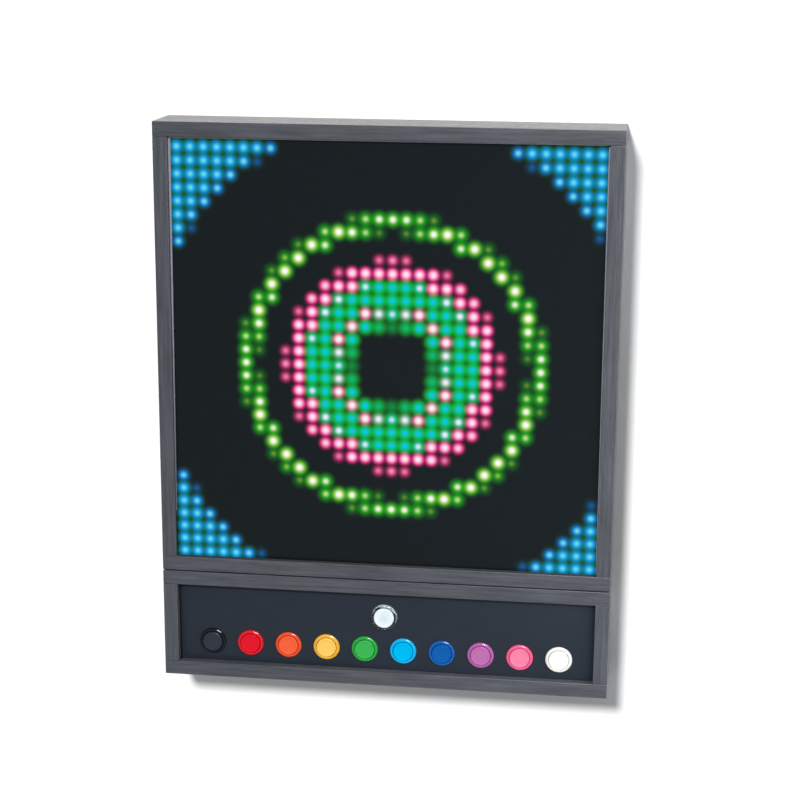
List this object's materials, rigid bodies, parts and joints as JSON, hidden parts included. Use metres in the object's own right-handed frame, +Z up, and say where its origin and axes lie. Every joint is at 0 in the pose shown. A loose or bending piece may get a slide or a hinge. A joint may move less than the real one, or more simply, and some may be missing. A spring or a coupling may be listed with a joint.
{
  "type": "wall-hung light game panel",
  "caption": "Wall-hung board-framed light panel with a smoked square display over a recessed shelf of coloured push buttons.",
  "frame": {"origin": "mid-width and mid-depth of the underside", "axes": "+Z up, +X to the right seen from the front, +Y back to the wall, so the front faces -Y"},
  "size_m": [0.57, 0.08, 0.7126],
  "materials": {
    "laminated_board": "dark grey laminate with a faint fine grain, on a wood board",
    "smoked_sheet": "smoked acrylic, lit from behind",
    "panel_sheet": "dark blue-grey satin acrylic",
    "white_tray": "white matt paint",
    "cover_board": "black hardboard",
    "batten_wood": "bare birch ply",
    "spring_steel": "bright spring wire",
    "switch_plastic": "moulded black",
    "cage_metal": "zinc-plated sheet",
    "circuit_board": "solder-masked laminate",
    "inlet_plastic": "moulded black",
    "clear_bezel": "clear moulded",
    "lit_plunger": "translucent white, lit",
    "black_bezel": "gloss moulded",
    "black_plunger": "satin moulded",
    "red_bezel": "gloss moulded",
    "red_plunger": "satin moulded",
    "orange_bezel": "gloss moulded",
    "orange_plunger": "satin moulded",
    "yellow_bezel": "gloss moulded",
    "yellow_plunger": "satin moulded",
    "green_bezel": "gloss moulded",
    "green_plunger": "satin moulded",
    "cyan_bezel": "gloss moulded",
    "cyan_plunger": "satin moulded",
    "blue_bezel": "gloss moulded",
    "blue_plunger": "satin moulded",
    "violet_bezel": "gloss moulded",
    "violet_plunger": "satin moulded",
    "pink_bezel": "gloss moulded",
    "pink_plunger": "satin moulded",
    "white_bezel": "gloss moulded",
    "white_plunger": "satin moulded"
  },
  "bodies": {
    "panel": {"display_top_rail": "laminated_board", "display_bottom_rail": "laminated_board", "control_top_rail": "laminated_board", "control_bottom_rail": "laminated_board", "display_left_stile": "laminated_board", "control_left_stile": "laminated_board", "display_right_stile": "laminated_board", "control_right_stile": "laminated_board", "front_sheet": "smoked_sheet", "light_tray": "white_tray", "rear_cover": "cover_board", "hanging_batten": "batten_wood", "power_supply": "cage_metal", "controller_board": "circuit_board", "power_inlet": "inlet_plastic", "bezel_black": "black_bezel", "spring_black": "spring_steel", "microswitch_black": "switch_plastic", "bezel_red": "red_bezel", "spring_red": "spring_steel", "microswitch_red": "switch_plastic", "bezel_orange": "orange_bezel", "spring_orange": "spring_steel", "microswitch_orange": "switch_plastic", "bezel_yellow": "yellow_bezel", "spring_yellow": "spring_steel", "microswitch_yellow": "switch_plastic", "bezel_green": "green_bezel", "spring_green": "spring_steel", "microswitch_green": "switch_plastic", "bezel_cyan": "cyan_bezel", "spring_cyan": "spring_steel", "microswitch_cyan": "switch_plastic", "bezel_blue": "blue_bezel", "spring_blue": "spring_steel", "microswitch_blue": "switch_plastic", "bezel_violet": "violet_bezel", "spring_violet": "spring_steel", "microswitch_violet": "switch_plastic", "bezel_pink": "pink_bezel", "spring_pink": "spring_steel", "microswitch_pink": "switch_plastic", "bezel_white": "white_bezel", "spring_white": "spring_steel", "microswitch_white": "switch_plastic", "bezel_mode": "clear_bezel", "spring_mode": "spring_steel", "microswitch_mode": "switch_plastic", "button_panel": "panel_sheet"},
    "black_button": {"plunger_black": "black_plunger"},
    "red_button": {"plunger_red": "red_plunger"},
    "orange_button": {"plunger_orange": "orange_plunger"},
    "yellow_button": {"plunger_yellow": "yellow_plunger"},
    "green_button": {"plunger_green": "green_plunger"},
    "cyan_button": {"plunger_cyan": "cyan_plunger"},
    "blue_button": {"plunger_blue": "blue_plunger"},
    "violet_button": {"plunger_violet": "violet_plunger"},
    "pink_button": {"plunger_pink": "pink_plunger"},
    "white_button": {"plunger_white": "white_plunger"},
    "mode_button": {"plunger_mode": "lit_plunger"}
  },
  "joints": [
    {"name": "black_press", "type": "slide", "parent": "panel", "child": "black_button", "axis": [0, 1, 0], "range_m": [0, 0.003], "stiffness_N_per_m": 300, "springref_m": -0.001, "deforming": ["spring_black"]},
    {"name": "red_press", "type": "slide", "parent": "panel", "child": "red_button", "axis": [0, 1, 0], "range_m": [0, 0.003], "stiffness_N_per_m": 300, "springref_m": -0.001, "deforming": ["spring_red"]},
    {"name": "orange_press", "type": "slide", "parent": "panel", "child": "orange_button", "axis": [0, 1, 0], "range_m": [0, 0.003], "stiffness_N_per_m": 300, "springref_m": -0.001, "deforming": ["spring_orange"]},
    {"name": "yellow_press", "type": "slide", "parent": "panel", "child": "yellow_button", "axis": [0, 1, 0], "range_m": [0, 0.003], "stiffness_N_per_m": 300, "springref_m": -0.001, "deforming": ["spring_yellow"]},
    {"name": "green_press", "type": "slide", "parent": "panel", "child": "green_button", "axis": [0, 1, 0], "range_m": [0, 0.003], "stiffness_N_per_m": 300, "springref_m": -0.001, "deforming": ["spring_green"]},
    {"name": "cyan_press", "type": "slide", "parent": "panel", "child": "cyan_button", "axis": [0, 1, 0], "range_m": [0, 0.003], "stiffness_N_per_m": 300, "springref_m": -0.001, "deforming": ["spring_cyan"]},
    {"name": "blue_press", "type": "slide", "parent": "panel", "child": "blue_button", "axis": [0, 1, 0], "range_m": [0, 0.003], "stiffness_N_per_m": 300, "springref_m": -0.001, "deforming": ["spring_blue"]},
    {"name": "violet_press", "type": "slide", "parent": "panel", "child": "violet_button", "axis": [0, 1, 0], "range_m": [0, 0.003], "stiffness_N_per_m": 300, "springref_m": -0.001, "deforming": ["spring_violet"]},
    {"name": "pink_press", "type": "slide", "parent": "panel", "child": "pink_button", "axis": [0, 1, 0], "range_m": [0, 0.003], "stiffness_N_per_m": 300, "springref_m": -0.001, "deforming": ["spring_pink"]},
    {"name": "white_press", "type": "slide", "parent": "panel", "child": "white_button", "axis": [0, 1, 0], "range_m": [0, 0.003], "stiffness_N_per_m": 300, "springref_m": -0.001, "deforming": ["spring_white"]},
    {"name": "mode_press", "type": "slide", "parent": "panel", "child": "mode_button", "axis": [0, 1, 0], "range_m": [0, 0.003], "stiffness_N_per_m": 300, "springref_m": -0.001, "deforming": ["spring_mode"]}
  ]
}
